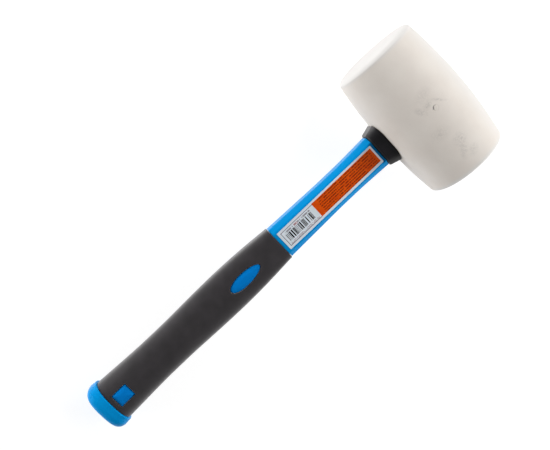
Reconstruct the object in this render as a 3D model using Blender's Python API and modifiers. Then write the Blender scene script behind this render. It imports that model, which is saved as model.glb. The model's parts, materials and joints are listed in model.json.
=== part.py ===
"""A builder's mallet: a white rubber barrel head on a straight handle with a fibreglass core.

The tool is modelled in its own frame, with the head's centre at the origin, the handle along -X, the
head's axis along Y and the labelled flat facing +Z. The mallet_frame empty then lays it on the
ground, on the belly of the head and the rim of the butt cap.
"""

import math

import bmesh
import bpy

# Head: a barrel turned about Y
HEAD_LENGTH = 0.097
BELLY_RADIUS = 0.0325
END_RADIUS = 0.0288  # where the barrel's curve meets the end planes, before the edge is rounded
EDGE_LENGTH = 0.0027  # how far its rounded edges reach along the axis, and in towards it
EDGE_DEPTH = 0.0050
HEAD_STEPS = 72
BARREL_ROWS = 14
EDGE_ROWS = 5

# Eye: the eight-sided hole for the handle, right through the head along X
EYE_HALF_WIDTH = 0.0128
EYE_HALF_HEIGHT = 0.0094
EYE_WIDTH_CHAMFER = 0.005  # how far its chamfers reach in along the width, and along the height
EYE_HEIGHT_CHAMFER = 0.004
EYE_CORNER = 0.0015

# Places along the handle, as X
PLUG_BLOCK_X = 0.036  # top of the block that the eye plug is cut from
PLUG_BASE_X = 0.0258
SLEEVE_TOP_X = 0.0255
CORE_TOP_X = 0.0245
GLUE_TOP_X = 0.0240
COLLAR_MOUTH_X = -0.0282
GLUE_TAIL_X = -0.0345
SLEEVE_TAIL_X = -0.0372
COLLAR_TAIL_X = -0.0398
SPIGOT_TIP_X = -0.0365
JACKET_FRONT_X = -0.0401
GRIP_FRONT_X = -0.1278
GRIP_REAR_X = -0.2777
JACKET_REAR_X = -0.2835
CORE_REAR_X = -0.2830
BUTT_X = -0.2885

# Sections
FLAT_HALF_WIDTH = 0.0078  # the flats that carry the label
FLAT_HALF_HEIGHT = 0.0085
SIDE_HALF_HEIGHT = 0.0048
HANDLE_CORNER = 0.0012
MOST_FLAT = 0.70  # the largest share of a half width that a flat may take
CORE_HALF_WIDTH = 0.0068
CORE_HALF_HEIGHT = 0.0046
CORE_SQUARENESS = 2.6
GLUE_THICKNESS = 0.0008
GRIP_WALL = 0.0026
SPIGOT_HALF_WIDTH = 0.0092
SPIGOT_HALF_HEIGHT = 0.0068
POCKET_DEPTH_X = -0.0362

# Collar outline: X, half width, half height, half width of its flat, half height of its side
COLLAR_MOUTH = (COLLAR_MOUTH_X, 0.0160, 0.0108, 0.01115, 0.0058)
COLLAR_TAIL = (COLLAR_TAIL_X, 0.0127, 0.0098, 0.0089, 0.0054)
COLLAR_CORNER = 0.0008
COLLAR_SHOULDER = 0.0065  # reach of the rounding between its flats and chamfers
COLLAR_ARC_POINTS = 6

# Label
LABEL_FRONT_X = -0.0420
LABEL_REAR_X = -0.1251
LABEL_WIDTH = 0.0144
LABEL_THICKNESS = 0.00016
LABEL_LIFT = 0.00010
LABEL_CORNER = 0.0004

# Raised pads of the jacket that show through the grip, on both flats
OVAL_CENTRE_X = -0.1594
OVAL_HALF_LENGTH = 0.0127
OVAL_HALF_WIDTH = 0.0043
OVAL_BLUNTNESS = 0.10  # share of the half width that moves from its front end to its rear end
BADGE_FRONT_X = -0.2625
BADGE_REAR_X = -0.2743
BADGE_HALF_WIDTH = 0.0048
BADGE_CORNER = 0.0008
PAD_RISE = 0.00025  # how far a pad stands above the grip
BLOCK_HALF_HEIGHT = 0.020  # of the blocks that pads and windows are cut with

GAP = 0.0003  # clearance kept between neighbouring pieces
REACH = 0.010  # how far a cutter runs on past what it cuts
STEP = 0.00001  # length along X of a step in an outline
MERGE = 0.00001
ARC_POINTS = 4  # points around each rounded corner of an eight-sided section
MOST_ROUND = 0.45  # the largest share of a side that a rounded corner may take
MOST_ROUND_SHOULDER = 0.80
OVAL_POINTS = 36  # points around an oval section
QUARTER_STEPS = 4  # steps around each corner of a rounded rectangle

# Jacket outline in front of the grip: X, half width
JACKET_STATIONS = (
    (JACKET_FRONT_X, 0.0116),
    (-0.050, 0.0112),
    (-0.064, 0.0107),
    (-0.084, 0.0107),
    (-0.100, 0.0111),
    (-0.114, 0.0114),
    (GRIP_FRONT_X + GAP, 0.0117),
)
# Grip outline: X, half width, half height, squareness of the section
GRIP_STATIONS = (
    (GRIP_FRONT_X, 0.0118, 0.0087, 3.6),
    (-0.1286, 0.0125, 0.0092, 3.5),
    (-0.137, 0.0131, 0.0097, 3.2),
    (-0.148, 0.0139, 0.0103, 2.9),
    (-0.160, 0.0145, 0.0109, 2.7),
    (-0.174, 0.0148, 0.0112, 2.6),
    (-0.194, 0.0146, 0.0112, 2.5),
    (-0.218, 0.0139, 0.0110, 2.5),
    (-0.240, 0.0139, 0.0114, 2.4),
    (-0.258, 0.0145, 0.0122, 2.4),
    (-0.270, 0.0151, 0.0128, 2.4),
    (GRIP_REAR_X, 0.0153, 0.0130, 2.4),
)
# Butt cap outline: X, half width, half height
CAP_FRONT_X = GRIP_REAR_X - GAP
CAP_RIM_X = -0.2828
CAP_STATIONS = (
    (CAP_FRONT_X, 0.0161, 0.0133),
    (CAP_FRONT_X - 0.0008, 0.0165, 0.0137),
    (CAP_RIM_X, 0.0169, 0.0142),
    (-0.2852, 0.0164, 0.0138),
    (-0.2869, 0.0152, 0.0128),
    (-0.2880, 0.0136, 0.0114),
    (BUTT_X, 0.0116, 0.0098),
)
CAP_SQUARENESS = 2.7
CAP_POCKET_X = JACKET_REAR_X - GAP

PARTS = "rubber_mallet"
CUTTERS = "cutters"


def clear_scene():
    for obj in list(bpy.data.objects):
        bpy.data.objects.remove(obj, do_unlink=True)
    for name in (PARTS, CUTTERS):
        collection = bpy.data.collections.new(name)
        bpy.context.scene.collection.children.link(collection)


def material(name, colour, roughness):
    made = bpy.data.materials.new(name)
    made.use_nodes = True
    shader = made.node_tree.nodes["Principled BSDF"]
    shader.inputs["Base Color"].default_value = (*colour, 1)
    shader.inputs["Roughness"].default_value = roughness
    shader.inputs["Metallic"].default_value = 0.0
    return made


def smooth(mesh, degrees=35):
    mesh.shade_smooth()
    mesh.set_sharp_from_angle(angle=math.radians(degrees))


def piece(name, mesh, collection=PARTS, look=None):
    """An object for a mesh: a part with its material, or a wire-frame cutter that isn't rendered."""
    obj = bpy.data.objects.new(name, mesh)
    bpy.data.collections[collection].objects.link(obj)
    if look:
        mesh.materials.append(look)
        smooth(mesh)
    if collection == CUTTERS:
        obj.hide_render = True
        obj.display_type = "WIRE"
    return obj


def boolean(obj, operation, other):
    """A Boolean with the EXACT solver, named for the object it works with."""
    modifier = obj.modifiers.new(other.name, "BOOLEAN")
    modifier.operation = operation
    modifier.object = other


def eight_sided(half_width, half_height, flat, side, corner, shoulder=None, points=ARC_POINTS):
    """Outline as (y, z) of a section with two flats, two sides and four chamfers, corners rounded.

    The shoulders, where flat meets chamfer, may be rounder than the corners beside them.
    """
    corners = [(half_width, side), (flat, half_height), (-flat, half_height), (-half_width, side)]
    corners += [(-y, -z) for y, z in corners]
    outline = []
    for index, (y, z) in enumerate(corners):
        rounding, most = corner, MOST_ROUND
        if shoulder and index % 4 in (1, 2):
            rounding, most = shoulder, MOST_ROUND_SHOULDER
        ends = []
        for other_y, other_z in (corners[index - 1], corners[(index + 1) % len(corners)]):
            reach = min(rounding / math.hypot(other_y - y, other_z - z), most)
            ends.append((y + (other_y - y) * reach, z + (other_z - z) * reach))
        for step in range(points):
            t = step / (points - 1)
            weights = ((1 - t) ** 2, 2 * t * (1 - t), t**2)
            pull = (ends[0], (y, z), ends[1])
            outline.append(tuple(sum(w * p[k] for w, p in zip(weights, pull)) for k in (0, 1)))
    return outline


def handle_section(half_width, half_height=FLAT_HALF_HEIGHT):
    """The jacket's section: the side keeps its share of the height, and the flat has a limit."""
    flat = min(FLAT_HALF_WIDTH, half_width * MOST_FLAT)
    side = half_height * SIDE_HALF_HEIGHT / FLAT_HALF_HEIGHT
    return eight_sided(half_width, half_height, flat, side, HANDLE_CORNER)


def eye_section(grow=0.0):
    half_width = EYE_HALF_WIDTH + grow
    half_height = EYE_HALF_HEIGHT + grow
    flat = half_width - EYE_WIDTH_CHAMFER
    side = half_height - EYE_HEIGHT_CHAMFER
    return eight_sided(half_width, half_height, flat, side, EYE_CORNER)


def oval_section(half_width, half_height, squareness):
    """A superellipse: 2 is an ellipse, and a larger squareness fills the corners."""
    outline = []
    for index in range(OVAL_POINTS):
        angle = 2 * math.pi * index / OVAL_POINTS
        c, s = math.cos(angle), math.sin(angle)
        reach = abs(c) ** squareness + abs(s) ** squareness
        reach = reach ** (-1 / squareness)
        outline.append((half_width * c * reach, half_height * s * reach))
    return outline


def core_section(grow=0.0):
    """The pultruded rod: a flat oval with round ends."""
    return oval_section(CORE_HALF_WIDTH + grow, CORE_HALF_HEIGHT + grow, CORE_SQUARENESS)


def loft(name, stations):
    """A closed skin through outlines of equal point count, given from the head towards the butt."""
    builder = bmesh.new()
    rings = []
    for x, outline in stations:
        rings.append([builder.verts.new((x, y, z)) for y, z in outline])
    count = len(rings[0])
    for near, far in zip(rings, rings[1:]):
        for index in range(count):
            following = (index + 1) % count
            builder.faces.new((near[index], far[index], far[following], near[following]))
    builder.faces.new(rings[0])
    builder.faces.new(reversed(rings[-1]))
    bmesh.ops.recalc_face_normals(builder, faces=builder.faces)
    mesh = bpy.data.meshes.new(name)
    builder.to_mesh(mesh)
    builder.free()
    return mesh


def barrel_mesh(name, grow=0.0):
    """The line that the head is turned from: from the centre of one end to the centre of the other."""
    half = HEAD_LENGTH / 2 + grow

    def radius(along):
        return BELLY_RADIUS + grow - (BELLY_RADIUS - END_RADIUS) * (along / half) ** 2

    shoulder = half - EDGE_LENGTH
    outline = [(0.0, half)]
    for row in range(EDGE_ROWS + 1):
        angle = math.pi / 2 * (1 - row / EDGE_ROWS)
        across = radius(shoulder) - EDGE_DEPTH * (1 - math.cos(angle))
        outline.append((across, shoulder + EDGE_LENGTH * math.sin(angle)))
    for row in range(1, BARREL_ROWS // 2 + 1):
        along = shoulder * (1 - row / (BARREL_ROWS // 2))
        outline.append((radius(along), along))
    outline += [(r, -along) for r, along in reversed(outline[:-1])]
    mesh = bpy.data.meshes.new(name)
    points = [(r, 0.0, along) for r, along in outline]
    mesh.from_pydata(points, [(k, k + 1) for k in range(len(points) - 1)], [])
    return mesh


def turn(obj):
    """Turns the barrel's outline about its own Z, which then lies along the head's axis, Y."""
    screw = obj.modifiers.new("turned", "SCREW")
    screw.steps = HEAD_STEPS
    screw.render_steps = HEAD_STEPS
    screw.use_merge_vertices = True
    screw.merge_threshold = MERGE
    screw.use_smooth_shade = True
    obj.rotation_euler = (-math.pi / 2, 0, 0)


def prism(name, outline, bottom, top):
    """An upright block with the given outline in (x, y), between two heights."""
    builder = bmesh.new()
    face = builder.faces.new([builder.verts.new((x, y, bottom)) for x, y in outline])
    made = bmesh.ops.extrude_face_region(builder, geom=[face])
    risen = [item for item in made["geom"] if isinstance(item, bmesh.types.BMVert)]
    bmesh.ops.translate(builder, verts=risen, vec=(0, 0, top - bottom))
    bmesh.ops.recalc_face_normals(builder, faces=builder.faces)
    mesh = bpy.data.meshes.new(name)
    builder.to_mesh(mesh)
    builder.free()
    return mesh


def rounded_box_outline(front_x, rear_x, half_width, corner):
    """Rectangle with round corners, as (x, y)."""
    outline = []
    for centre_x, centre_y, start in (
        (front_x - corner, half_width - corner, 0),
        (rear_x + corner, half_width - corner, 90),
        (rear_x + corner, -half_width + corner, 180),
        (front_x - corner, -half_width + corner, 270),
    ):
        for step in range(QUARTER_STEPS + 1):
            angle = math.radians(start + 90 * step / QUARTER_STEPS)
            outline.append(
                (centre_x + corner * math.cos(angle), centre_y + corner * math.sin(angle))
            )
    return outline


def oval_outline(grow=0.0):
    """The front pad: an oval that is a little blunter at its rear end, as (x, y)."""
    outline = []
    for index in range(OVAL_POINTS):
        angle = 2 * math.pi * index / OVAL_POINTS
        along = (OVAL_HALF_LENGTH + grow) * math.cos(angle)
        fullness = 1 - OVAL_BLUNTNESS * math.cos(angle)
        across = (OVAL_HALF_WIDTH * fullness + grow) * math.sin(angle)
        outline.append((OVAL_CENTRE_X + along, across))
    return outline


def badge_outline(grow=0.0):
    return rounded_box_outline(
        BADGE_FRONT_X + grow, BADGE_REAR_X - grow, BADGE_HALF_WIDTH + grow, BADGE_CORNER + grow
    )


def grip_envelope(name, grow=0.0):
    stations = [
        (x, oval_section(half_width + grow, half_height + grow, squareness))
        for x, half_width, half_height, squareness in GRIP_STATIONS
    ]
    return loft(name, stations)


def under_grip(grow=0.0):
    """The jacket's stations under the grip, one grip wall inside its outline."""
    return [
        (x, handle_section(half_width - GRIP_WALL + grow, half_height - GRIP_WALL + grow))
        for x, half_width, half_height, _ in GRIP_STATIONS
    ]


def make_head(rubber):
    head = piece("head", barrel_mesh("head"), look=rubber)
    turn(head)
    far = BELLY_RADIUS + REACH
    eye = loft("eye", [(far, eye_section()), (-far, eye_section())])
    boolean(head, "DIFFERENCE", piece("eye_cutter", eye, CUTTERS))
    return head


def make_collar(plastic):
    """Flared collar, cut to the round of the head, with a sleeve that lines the eye."""
    rounding = (COLLAR_CORNER, COLLAR_SHOULDER, COLLAR_ARC_POINTS)
    stations = [(x, eight_sided(*sizes, *rounding)) for x, *sizes in (COLLAR_MOUTH, COLLAR_TAIL)]
    collar = piece("head_collar", loft("head_collar", stations), look=plastic)
    round_of_head = piece("collar_seat_cutter", barrel_mesh("collar_seat", GAP), CUTTERS)
    turn(round_of_head)
    boolean(collar, "DIFFERENCE", round_of_head)
    lining = eye_section(-GAP)
    sleeve = loft("sleeve", [(SLEEVE_TOP_X, lining), (SLEEVE_TAIL_X, lining)])
    boolean(collar, "UNION", piece("collar_sleeve", sleeve, CUTTERS))
    bore = core_section(GLUE_THICKNESS + 2 * GAP)
    hole = loft("collar_bore", [(SLEEVE_TOP_X + REACH, bore), (COLLAR_TAIL_X - REACH, bore)])
    boolean(collar, "DIFFERENCE", piece("collar_bore_cutter", hole, CUTTERS))
    seat = handle_section(SPIGOT_HALF_WIDTH + GAP, SPIGOT_HALF_HEIGHT + GAP)
    pocket = loft("spigot_pocket", [(POCKET_DEPTH_X, seat), (COLLAR_TAIL_X - REACH, seat)])
    boolean(collar, "DIFFERENCE", piece("spigot_pocket_cutter", pocket, CUTTERS))
    return collar


def make_plug(plastic):
    """Closes the eye on the far side, its top following the round of the head."""
    outline = eye_section(-GAP)
    block = loft("eye_plug", [(PLUG_BLOCK_X, outline), (PLUG_BASE_X, outline)])
    plug = piece("eye_plug", block, look=plastic)
    shape = piece("plug_top_cutter", barrel_mesh("plug_top", -GAP), CUTTERS)
    turn(shape)
    boolean(plug, "INTERSECT", shape)
    return plug


def make_core(glass):
    section = core_section()
    rod = loft("fibreglass_core", [(CORE_TOP_X, section), (CORE_REAR_X, section)])
    return piece("fibreglass_core", rod, look=glass)


def make_glue(resin):
    """The bond between the core and the sleeve, inside the head."""
    outer = core_section(GLUE_THICKNESS + GAP)
    layer = loft("eye_adhesive", [(GLUE_TOP_X, outer), (GLUE_TAIL_X, outer)])
    glue = piece("eye_adhesive", layer, look=resin)
    inner = core_section(GAP)
    hole = loft("adhesive_bore", [(GLUE_TOP_X + REACH, inner), (GLUE_TAIL_X - REACH, inner)])
    boolean(glue, "DIFFERENCE", piece("adhesive_bore_cutter", hole, CUTTERS))
    return glue


def make_pads():
    """Solids that reach from inside the jacket to just above the grip, on both flats."""
    skin = piece("pad_skin", grip_envelope("pad_skin", PAD_RISE), CUTTERS)
    pads = []
    for name, outline in (("oval_pad", oval_outline()), ("badge_pad", badge_outline())):
        pad = piece(name, prism(name, outline, -BLOCK_HALF_HEIGHT, BLOCK_HALF_HEIGHT), CUTTERS)
        boolean(pad, "INTERSECT", skin)
        pads.append(pad)
    return pads


def make_jacket(plastic):
    """Hard shell from the collar to the cap: full size in front, reduced under the grip."""
    spigot = handle_section(SPIGOT_HALF_WIDTH, SPIGOT_HALF_HEIGHT)
    stations = [(SPIGOT_TIP_X, spigot), (JACKET_FRONT_X + STEP, spigot)]
    stations += [(x, handle_section(half_width)) for x, half_width in JACKET_STATIONS]
    covered = under_grip()
    covered[0] = (GRIP_FRONT_X + GAP - STEP, covered[0][1])
    stations += covered[:-1]
    stations.append((JACKET_REAR_X, covered[-2][1]))
    jacket = piece("handle_jacket", loft("handle_jacket", stations), look=plastic)
    for pad in make_pads():
        boolean(jacket, "UNION", pad)
    bore = core_section(GAP)
    hole = loft("jacket_bore", [(SPIGOT_TIP_X + REACH, bore), (JACKET_REAR_X - REACH, bore)])
    boolean(jacket, "DIFFERENCE", piece("jacket_bore_cutter", hole, CUTTERS))
    return jacket


def make_grip(elastomer):
    """Soft sleeve with a window over each pad."""
    grip = piece("grip_sleeve", grip_envelope("grip_sleeve"), look=elastomer)
    covered = under_grip(GAP)
    front = (GRIP_FRONT_X + REACH, covered[0][1])
    rear = (GRIP_REAR_X - REACH, covered[-2][1])
    bore = loft("grip_bore", [front, *covered[1:-1], rear])
    boolean(grip, "DIFFERENCE", piece("grip_bore_cutter", bore, CUTTERS))
    for name, outline in (("oval_window", oval_outline(GAP)), ("badge_window", badge_outline(GAP))):
        block = prism(name, outline, -BLOCK_HALF_HEIGHT, BLOCK_HALF_HEIGHT)
        boolean(grip, "DIFFERENCE", piece(name, block, CUTTERS))
    return grip


def make_cap(plastic):
    """Flared end that the jacket and the core sit in."""
    stations = [(x, oval_section(w, h, CAP_SQUARENESS)) for x, w, h in CAP_STATIONS]
    cap = piece("butt_cap", loft("butt_cap", stations), look=plastic)
    _, half_width, half_height, _ = GRIP_STATIONS[-2]
    seat = handle_section(half_width - GRIP_WALL + GAP, half_height - GRIP_WALL + GAP)
    pocket = loft("cap_pocket", [(CAP_FRONT_X + REACH, seat), (CAP_POCKET_X, seat)])
    boolean(cap, "DIFFERENCE", piece("cap_pocket_cutter", pocket, CUTTERS))
    return cap


def make_label(paper):
    outline = rounded_box_outline(LABEL_FRONT_X, LABEL_REAR_X, LABEL_WIDTH / 2, LABEL_CORNER)
    bottom = FLAT_HALF_HEIGHT + LABEL_LIFT
    mesh = prism("handle_label", outline, bottom, bottom + LABEL_THICKNESS)
    return piece("handle_label", mesh, look=paper)


def resting_pitch():
    """How far the butt drops until the cap's rim is level with the lowest line of the head."""
    rim_height = next(h for x, _, h in CAP_STATIONS if x == CAP_RIM_X)
    reach = math.hypot(CAP_RIM_X, rim_height)
    return math.asin(BELLY_RADIUS / reach) - math.atan2(rim_height, -CAP_RIM_X)


def lay_down(parts):
    """Parents the parts to an empty that rests the tool on z = 0, centred over the origin."""
    pitch = resting_pitch()
    rear = min(x * math.cos(pitch) - h * math.sin(pitch) for x, _, h in CAP_STATIONS)
    frame = bpy.data.objects.new("mallet_frame", None)
    bpy.data.collections[PARTS].objects.link(frame)
    frame.location = (-(BELLY_RADIUS + rear) / 2, 0, BELLY_RADIUS)
    frame.rotation_euler = (0, -pitch, 0)
    for part in parts + list(bpy.data.collections[CUTTERS].objects):
        part.parent = frame


def main():
    clear_scene()
    rubber = material("white_rubber", (0.78, 0.76, 0.73), 0.62)
    black_plastic = material("black_plastic", (0.012, 0.012, 0.013), 0.32)
    blue_plastic = material("blue_plastic", (0.004, 0.235, 0.560), 0.22)
    elastomer = material("charcoal_elastomer", (0.045, 0.043, 0.046), 0.68)
    glass = material("fibreglass", (0.60, 0.56, 0.36), 0.45)
    resin = material("epoxy_resin", (0.30, 0.24, 0.12), 0.30)
    paper = material("label_paper", (0.86, 0.87, 0.90), 0.45)
    lay_down(
        [
            make_head(rubber),
            make_collar(black_plastic),
            make_plug(black_plastic),
            make_core(glass),
            make_glue(resin),
            make_jacket(blue_plastic),
            make_grip(elastomer),
            make_cap(blue_plastic),
            make_label(paper),
        ]
    )


main()
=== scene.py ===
"""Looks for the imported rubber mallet: fine pieces with procedural materials in place of the CAD's skins.

Shapes are worked out in the tool's own frame: the origin at the head's centre, the handle along -X, the
head's axis along Y and the labelled flat facing +Z. TOOL places that frame in the row frame. Outlines
and ends are measured on the CAD nodes. The eye, the core, the pads, the spigot, the corners and the
thickness of the grip's wall repeat the CAD's own numbers.
"""

import json
import math

import bmesh
import bpy
import numpy as np
from mathutils import Euler, Matrix, Vector, noise


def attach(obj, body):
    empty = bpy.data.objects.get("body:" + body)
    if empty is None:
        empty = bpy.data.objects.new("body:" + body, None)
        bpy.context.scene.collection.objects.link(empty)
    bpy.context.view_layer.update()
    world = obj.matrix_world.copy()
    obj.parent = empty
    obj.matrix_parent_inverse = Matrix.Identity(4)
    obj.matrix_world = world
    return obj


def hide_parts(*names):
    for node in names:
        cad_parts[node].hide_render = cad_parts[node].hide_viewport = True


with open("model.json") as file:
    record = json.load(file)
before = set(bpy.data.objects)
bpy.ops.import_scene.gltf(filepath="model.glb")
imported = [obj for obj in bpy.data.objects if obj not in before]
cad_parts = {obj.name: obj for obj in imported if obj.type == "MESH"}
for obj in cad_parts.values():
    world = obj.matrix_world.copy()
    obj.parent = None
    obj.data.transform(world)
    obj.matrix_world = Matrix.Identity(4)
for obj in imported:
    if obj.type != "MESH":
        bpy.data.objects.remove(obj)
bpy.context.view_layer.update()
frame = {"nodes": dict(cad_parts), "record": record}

GAP = 0.0003  # clearance between neighbouring pieces
CLEAR = 0.01  # how far a cutter runs past what it cuts
HAIR = 1e-5  # a step too small to see

# Camera, in the tool's frame
CAMERA_PLACE = (-0.11952, 0.10709, 0.51615)
CAMERA_TURN = (-7.897, -7.111, -43.059)
LENS = 52.364
SENSOR = 36.0

# Sections
AROUND = 96  # points around a section of the handle
ARC_POINTS = AROUND // 8
HANDLE_CORNER = 0.0012
MOST_ROUND = 0.45  # the largest share of a side that a rounded corner may take
MOST_ROUND_SHOULDER = 0.80
MOST_FLAT = 0.70  # the largest share of a half width that a flat may take
FLAT_HALF_WIDTH = 0.0078
SIDE_SHARE = 0.565  # of a section's half height, up to where its chamfer starts
CORE_HALF_WIDTH = 0.0068
CORE_HALF_HEIGHT = 0.0046
CORE_SQUARENESS = 2.6
GRIP_WALL = 0.0026

# Head
EDGE_LENGTH = 0.0027  # how far the rounded edges reach along the axis, and in towards it
EDGE_DEPTH = 0.0050
HEAD_COLUMNS = 220  # faces round the head, and along it
HEAD_ROWS = 110
EDGE_ROWS = 14
FACE_RINGS = 12
EYE_HALF_WIDTH = 0.0128  # the eye, and how far its chamfers reach in along the width and the height
EYE_HALF_HEIGHT = 0.0094
EYE_WIDTH_CHAMFER = 0.005
EYE_HEIGHT_CHAMFER = 0.004
EYE_CORNER = 0.0015
EYE_LIP_START_X = 0.02  # deep in the eye, where the cutter for its lip starts
EYE_LIP = ((0.0, -0.0006), (0.00015, -0.0003), (0.0006, 0.00005), (0.0009, 0.0010))  # growth, depth


def tool_matrix():
    """The tool's frame in the row frame, from the record's mounts."""
    mounts = {m["name"]: m for m in frame["record"]["mounts"]}
    left = Vector(mounts["strike_face_left"]["pos_m"])
    right = Vector(mounts["strike_face_right"]["pos_m"])
    x = -Vector(mounts["butt_end"]["axis"]).normalized()
    y = (left - right).normalized()
    turn = Matrix((x, y, x.cross(y))).transposed()
    return Matrix.Translation((left + right) / 2) @ turn.to_4x4()


TOOL = tool_matrix()


# ---------------------------------------------------------------- measuring the CAD nodes


def cad_edges(node):
    """Both ends of every edge of a CAD node, as arrays in the tool's frame."""
    mesh = frame["nodes"][node].data
    back = TOOL.inverted()
    points = np.array([back @ v.co for v in mesh.vertices])
    ends = np.array([e.vertices[:] for e in mesh.edges])
    return points[ends[:, 0]], points[ends[:, 1]]


def slice_of(node, axis, at):
    """The points where a plane across an axis of the tool's frame cuts a CAD node's edges."""
    a, b = cad_edges(node)
    run = b[:, axis] - a[:, axis]
    crossing = ((a[:, axis] - at) * (b[:, axis] - at) <= 0) & (np.abs(run) > 1e-9)
    a, b, run = a[crossing], b[crossing], run[crossing]
    return a + ((at - a[:, axis]) / run)[:, None] * (b - a)


def half_sizes(node, x):
    """Half width and half height of a CAD node at a place along the handle."""
    cut = np.abs(slice_of(node, 0, x))
    return cut[:, 1].max(), cut[:, 2].max()


def extent(node):
    """Lowest and highest corner of a CAD node in the tool's frame."""
    points = np.vstack(cad_edges(node))
    return points.min(axis=0), points.max(axis=0)


class Outline:
    """Half width and half height of a CAD node along the handle, with the facets smoothed away."""

    def __init__(self, node, front, rear, count, passes):
        self.places = np.linspace(front, rear, count)
        self.sizes = np.array([half_sizes(node, x) for x in self.places])
        for _ in range(passes):
            inner = (self.sizes[:-2] + 2 * self.sizes[1:-1] + self.sizes[2:]) / 4
            self.sizes[1:-1] = inner

    def at(self, x):
        return [float(np.interp(-x, -self.places, self.sizes[:, k])) for k in (0, 1)]


# ---------------------------------------------------------------- sections and skins


def eight_sided(half_width, half_height, flat, side, corner, shoulder=None):
    """Outline as (y, z) of a section with two flats, two sides and four chamfers, corners rounded.

    The shoulders, where flat meets chamfer, may be rounder than the corners beside them.
    """
    corners = [(half_width, side), (flat, half_height), (-flat, half_height), (-half_width, side)]
    corners += [(-y, -z) for y, z in corners]
    outline = []
    for index, (y, z) in enumerate(corners):
        rounding, most = corner, MOST_ROUND
        if shoulder and index % 4 in (1, 2):
            rounding, most = shoulder, MOST_ROUND_SHOULDER
        ends = []
        for other_y, other_z in (corners[index - 1], corners[(index + 1) % len(corners)]):
            reach = min(rounding / math.hypot(other_y - y, other_z - z), most)
            ends.append((y + (other_y - y) * reach, z + (other_z - z) * reach))
        for step in range(ARC_POINTS):
            t = step / (ARC_POINTS - 1)
            weights = ((1 - t) ** 2, 2 * t * (1 - t), t**2)
            points = (ends[0], (y, z), ends[1])
            outline.append(tuple(sum(w * p[k] for w, p in zip(weights, points)) for k in (0, 1)))
    return outline


def handle_section(half_width, half_height):
    flat = min(FLAT_HALF_WIDTH, half_width * MOST_FLAT)
    return eight_sided(half_width, half_height, flat, half_height * SIDE_SHARE, HANDLE_CORNER)


def eye_section(grow=0.0):
    half_width = EYE_HALF_WIDTH + grow
    half_height = EYE_HALF_HEIGHT + grow
    flat = half_width - EYE_WIDTH_CHAMFER
    side = half_height - EYE_HEIGHT_CHAMFER
    return eight_sided(half_width, half_height, flat, side, EYE_CORNER + grow)


def oval_section(half_width, half_height, squareness):
    outline = []
    for index in range(AROUND):
        angle = 2 * math.pi * (index + 0.5) / AROUND
        c, s = math.cos(angle), math.sin(angle)
        reach = (abs(c) ** squareness + abs(s) ** squareness) ** (-1 / squareness)
        outline.append((half_width * c * reach, half_height * s * reach))
    return outline


def core_section(grow=0.0):
    return oval_section(CORE_HALF_WIDTH + grow, CORE_HALF_HEIGHT + grow, CORE_SQUARENESS)


def quarter_round(steps, first=0):
    """For each step round a quarter of a circle: how far it has turned in, and how far it has risen."""
    for step in range(first, steps + 1):
        angle = math.pi / 2 * step / steps
        yield 1 - math.cos(angle), math.sin(angle)


def rings_mesh(name, rings, joined=False):
    """A skin through rings of equal point count; joined makes a tube of it, last ring to first."""
    builder = bmesh.new()
    made = [[builder.verts.new(p) for p in ring] for ring in rings]
    pairs = list(zip(made, made[1:])) + ([(made[-1], made[0])] if joined else [])
    for near, far in pairs:
        for index in range(len(near)):
            following = (index + 1) % len(near)
            builder.faces.new((near[index], far[index], far[following], near[following]))
    if not joined:
        builder.faces.new(made[0])
        builder.faces.new(reversed(made[-1]))
    return closed_mesh(name, builder)


def closed_mesh(name, builder):
    """Ends a builder as a mesh whose faces all look outwards."""
    bmesh.ops.recalc_face_normals(builder, faces=builder.faces)
    if builder.calc_volume(signed=True) < 0:
        bmesh.ops.reverse_faces(builder, faces=builder.faces)
    mesh = bpy.data.meshes.new(name)
    builder.to_mesh(mesh)
    builder.free()
    return mesh


def across(x, outline):
    """A ring at a place along the handle."""
    return [(x, y, z) for y, z in outline]


def loft(name, stations):
    return rings_mesh(name, [across(x, outline) for x, outline in stations])


def thing(name, mesh):
    obj = bpy.data.objects.new(name, mesh)
    bpy.context.scene.collection.objects.link(obj)
    return obj


def boolean(obj, operation, mesh):
    """Applies a Boolean with a throw-away solid."""
    other = thing(mesh.name + "_solid", mesh)
    modifier = obj.modifiers.new("cut", "BOOLEAN")
    modifier.operation = operation
    modifier.solver = "EXACT"
    modifier.object = other
    settle(obj)
    bpy.data.objects.remove(other)


def settle(obj):
    """Turns an object's modifiers into its mesh."""
    graph = bpy.context.evaluated_depsgraph_get()
    mesh = bpy.data.meshes.new_from_object(obj.evaluated_get(graph))
    obj.modifiers.clear()
    obj.data = mesh


def finish_piece(obj, look, nodes=(), sharp=32):
    """Smooth shading with weighted normals, the material, and the piece's place in the frame."""
    obj.data.materials.clear()
    obj.data.materials.append(look)
    obj.data.shade_smooth()
    obj.data.set_sharp_from_angle(angle=math.radians(sharp))
    weighted = obj.modifiers.new("weighted", "WEIGHTED_NORMAL")
    weighted.keep_sharp = True
    obj.data.transform(TOOL)
    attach(obj, "root")
    if nodes:
        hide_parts(*nodes)
    return obj


# ---------------------------------------------------------------- head


def head_sizes():
    low, high = extent("head")
    half = (high[1] - low[1]) / 2
    belly = np.hypot(*slice_of("head", 1, 0.0)[:, ::2].T).max()
    shoulder = half - EDGE_LENGTH
    at_shoulder = np.hypot(*slice_of("head", 1, shoulder)[:, ::2].T).max()
    fall = (belly - at_shoulder) * (half / shoulder) ** 2
    return half, belly, fall


HEAD_HALF, HEAD_BELLY, HEAD_FALL = head_sizes()


def barrel_radius(y, grow=0.0):
    return HEAD_BELLY + grow - HEAD_FALL * (y / (HEAD_HALF + grow)) ** 2


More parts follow.
